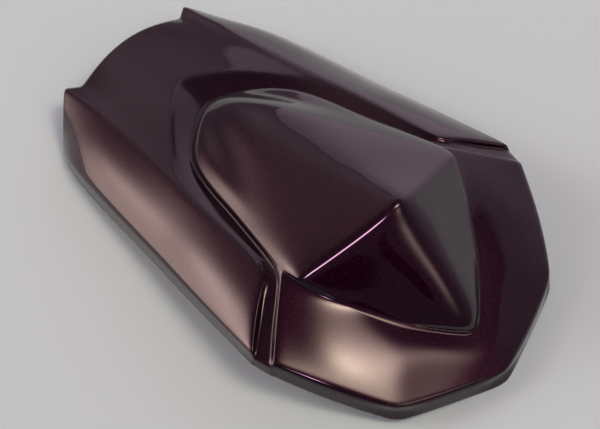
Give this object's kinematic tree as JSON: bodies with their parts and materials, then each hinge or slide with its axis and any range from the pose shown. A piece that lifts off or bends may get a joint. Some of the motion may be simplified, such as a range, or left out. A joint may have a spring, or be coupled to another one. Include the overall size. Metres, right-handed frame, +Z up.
{
  "type": "seat cowl",
  "caption": "Painted moulded hump for a motorbike's pillion seat: thin open-bottomed shell with a faceted tail, a moat round its foot and a turned-down rim.",
  "frame": {"origin": "middle of the ground that the shell covers, at the height of the tail tip and of the wings' front corners", "axes": "+X to the rider's right, +Y forward, towards the cut front edge, +Z up"},
  "size_m": [0.2642, 0.4026, 0.1095],
  "materials": {
    "paint": "dark plum metallic paint under gloss clear coat on moulded plastic; bare dark plastic inside"
  },
  "bodies": {
    "root": {"cowl_shell": "paint"}
  },
  "joints": []
}
